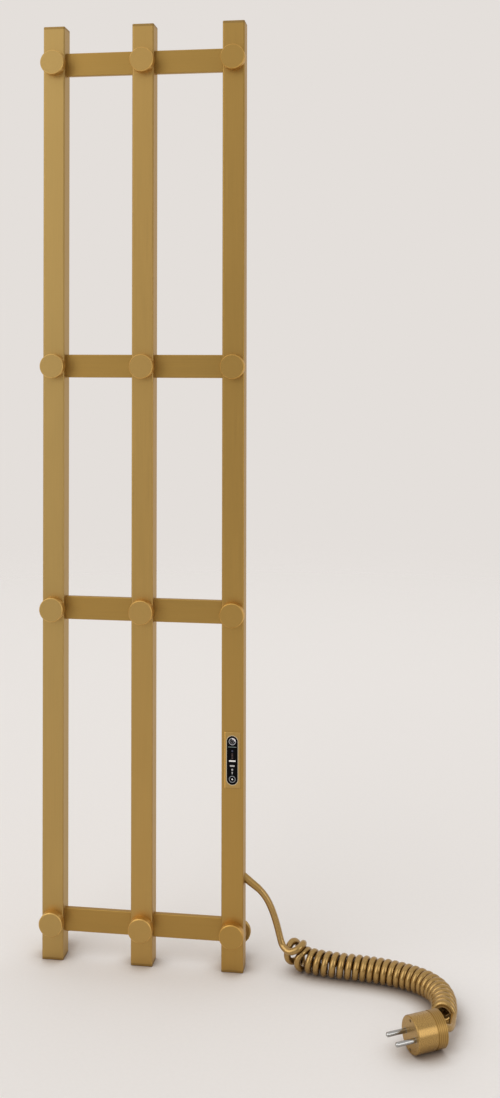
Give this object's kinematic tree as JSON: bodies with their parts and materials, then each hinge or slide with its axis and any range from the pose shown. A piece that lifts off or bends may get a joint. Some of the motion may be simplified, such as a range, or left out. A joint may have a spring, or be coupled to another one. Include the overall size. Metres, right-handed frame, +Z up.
{
  "type": "towel warmer rack",
  "caption": "Electric towel warmer with three brass posts, crossbars with round knobs, wall spacers, a push-button control and a curly cord.",
  "frame": {"origin": "on the floor, midway between the outer posts and midway between the knob faces and the wall faces of the spacers", "axes": "+Z up along the posts, +X to the right seen from the front, +Y towards the wall"},
  "size_m": [0.4691, 0.2002, 1.067],
  "materials": {
    "frame_brass": "satin, brushed lengthwise",
    "knob_brass": "satin, turned",
    "cap_brass": "satin",
    "spacer_brass": "satin",
    "bush_brass": "machined",
    "bezel_brass": "satin",
    "fastener_steel": "zinc plated",
    "pin_steel": "nickel plated",
    "heater_silicone": "matte",
    "crimp_metal": "tinned",
    "wire_silicone": "matte",
    "sensor_epoxy": "potted",
    "cutout_ceramic": "ceramic",
    "block_plastic": "moulded",
    "cord_sheath": "metallic gold PVC",
    "relief_plastic": "gold PVC",
    "gland_plastic": "gold nylon",
    "plug_plastic": "metallic gold moulding",
    "lens_gloss": "black gloss",
    "button_gloss": "black gloss",
    "tray_plastic": "moulded",
    "board_laminate": "solder mask",
    "display_gloss": "smoked"
  },
  "bodies": {
    "rack": {"left_post": "frame_brass", "middle_post": "frame_brass", "right_post": "frame_brass", "lowest_crossbar": "frame_brass", "lower_crossbar": "frame_brass", "upper_crossbar": "frame_brass", "top_crossbar": "frame_brass", "lowest_left_knob": "knob_brass", "lowest_middle_knob": "knob_brass", "lowest_right_knob": "knob_brass", "lower_left_knob": "knob_brass", "lower_middle_knob": "knob_brass", "lower_right_knob": "knob_brass", "upper_left_knob": "knob_brass", "upper_middle_knob": "knob_brass", "upper_right_knob": "knob_brass", "top_left_knob": "knob_brass", "top_middle_knob": "knob_brass", "top_right_knob": "knob_brass", "left_foot_cap": "cap_brass", "left_top_cap": "cap_brass", "middle_foot_cap": "cap_brass", "middle_top_cap": "cap_brass", "right_foot_cap": "cap_brass", "right_top_cap": "cap_brass", "lower_left_spacer": "spacer_brass", "lower_right_spacer": "spacer_brass", "upper_middle_spacer": "spacer_brass", "wall_rosettes": "spacer_brass", "knob_studs": "fastener_steel", "spacer_nuts": "fastener_steel", "spacer_bolts": "fastener_steel", "spacer_grub_screws": "fastener_steel", "board_screws": "fastener_steel", "plug_screws": "fastener_steel", "bar_bushes": "bush_brass", "plug_pins": "pin_steel", "heating_cables": "heater_silicone", "heater_crimps": "crimp_metal", "lead_wires": "wire_silicone", "temperature_sensor": "sensor_epoxy", "thermal_cutout": "cutout_ceramic", "terminal_block": "block_plastic", "supply_lead": "cord_sheath", "cord_lead": "cord_sheath", "cord_coil": "cord_sheath", "cord_tail": "cord_sheath", "strain_relief": "relief_plastic", "cord_gland": "gland_plastic", "plug_body": "plug_plastic", "plug_cover": "plug_plastic", "control_bezel": "bezel_brass", "control_lens": "lens_gloss", "control_tray": "tray_plastic", "circuit_board": "board_laminate", "display_module": "display_gloss", "push_switches": "tray_plastic"},
    "power_button": {"power_button": "button_gloss"},
    "timer_button": {"timer_button": "button_gloss"}
  },
  "joints": [
    {"name": "power_button_press", "type": "slide", "parent": "rack", "child": "power_button", "axis": [0, 1, 0], "range_m": [0, 0.0005], "stiffness_N_per_m": 1500, "springref_m": -0.0004},
    {"name": "timer_button_press", "type": "slide", "parent": "rack", "child": "timer_button", "axis": [0, 1, 0], "range_m": [0, 0.0005], "stiffness_N_per_m": 1500, "springref_m": -0.0004}
  ]
}
